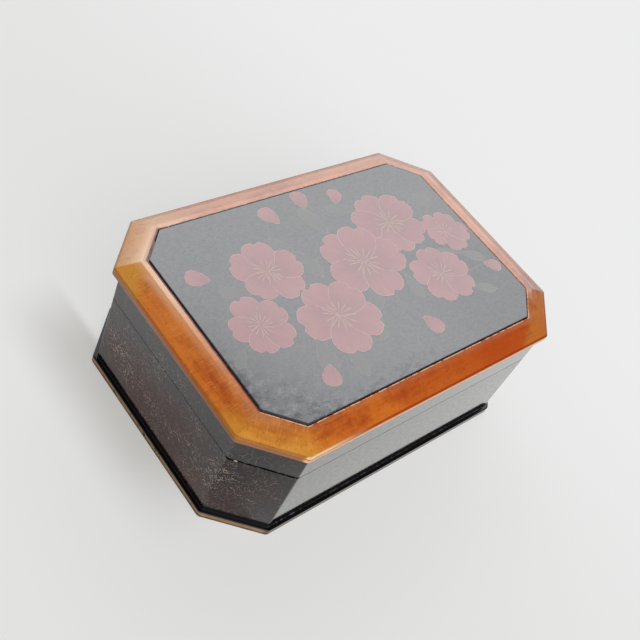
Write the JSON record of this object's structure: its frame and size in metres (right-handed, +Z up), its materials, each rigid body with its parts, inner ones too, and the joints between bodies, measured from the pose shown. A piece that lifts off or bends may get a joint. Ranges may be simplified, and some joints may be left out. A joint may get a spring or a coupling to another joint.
{
  "type": "lacquer box",
  "caption": "Lacquered box with cut-off corners, upright walls on a flat-topped foot moulding, and a lift-off framed lid with a raised panel, located by an inner liner.",
  "frame": {"origin": "on the surface the box stands on, under the middle of its plan", "axes": "+X to the right along the long front side, +Y to the back, +Z up"},
  "size_m": [0.3, 0.2048, 0.1061],
  "materials": {
    "wall_lacquer": "gloss black lacquer with fine brown-gold hairlines",
    "bead_lacquer": "gloss black lacquer, its outer edge worn to brown and gold",
    "base_lacquer": "black lacquer, its edge worn to brown and gold",
    "frame_lacquer": "gloss amber lacquer over wood",
    "panel_lacquer": "gloss black lacquer with painted blossoms",
    "inside_lacquer": "satin dark red lacquer"
  },
  "bodies": {
    "box": {"front_wall": "wall_lacquer", "front_right_wall": "wall_lacquer", "right_wall": "wall_lacquer", "back_right_wall": "wall_lacquer", "back_wall": "wall_lacquer", "back_left_wall": "wall_lacquer", "left_wall": "wall_lacquer", "front_left_wall": "wall_lacquer", "base_plate": "base_lacquer", "floor_board": "inside_lacquer", "front_bead": "bead_lacquer", "front_right_bead": "bead_lacquer", "right_bead": "bead_lacquer", "back_right_bead": "bead_lacquer", "back_bead": "bead_lacquer", "back_left_bead": "bead_lacquer", "left_bead": "bead_lacquer", "front_left_bead": "bead_lacquer", "front_liner": "inside_lacquer", "front_right_liner": "inside_lacquer", "right_liner": "inside_lacquer", "back_right_liner": "inside_lacquer", "back_liner": "inside_lacquer", "back_left_liner": "inside_lacquer", "left_liner": "inside_lacquer", "front_left_liner": "inside_lacquer"},
    "lid": {"front_skirt": "wall_lacquer", "front_right_skirt": "wall_lacquer", "right_skirt": "wall_lacquer", "back_right_skirt": "wall_lacquer", "back_skirt": "wall_lacquer", "back_left_skirt": "wall_lacquer", "left_skirt": "wall_lacquer", "front_left_skirt": "wall_lacquer", "lid_lining": "inside_lacquer", "front_frame_rail": "frame_lacquer", "front_right_frame_rail": "frame_lacquer", "right_frame_rail": "frame_lacquer", "back_right_frame_rail": "frame_lacquer", "back_frame_rail": "frame_lacquer", "back_left_frame_rail": "frame_lacquer", "left_frame_rail": "frame_lacquer", "front_left_frame_rail": "frame_lacquer", "lid_panel": "panel_lacquer"}
  },
  "joints": [
    {"name": "lid_lift", "type": "slide", "parent": "box", "child": "lid", "axis": [0, 0, 1], "range_m": [0, 0.12]}
  ]
}
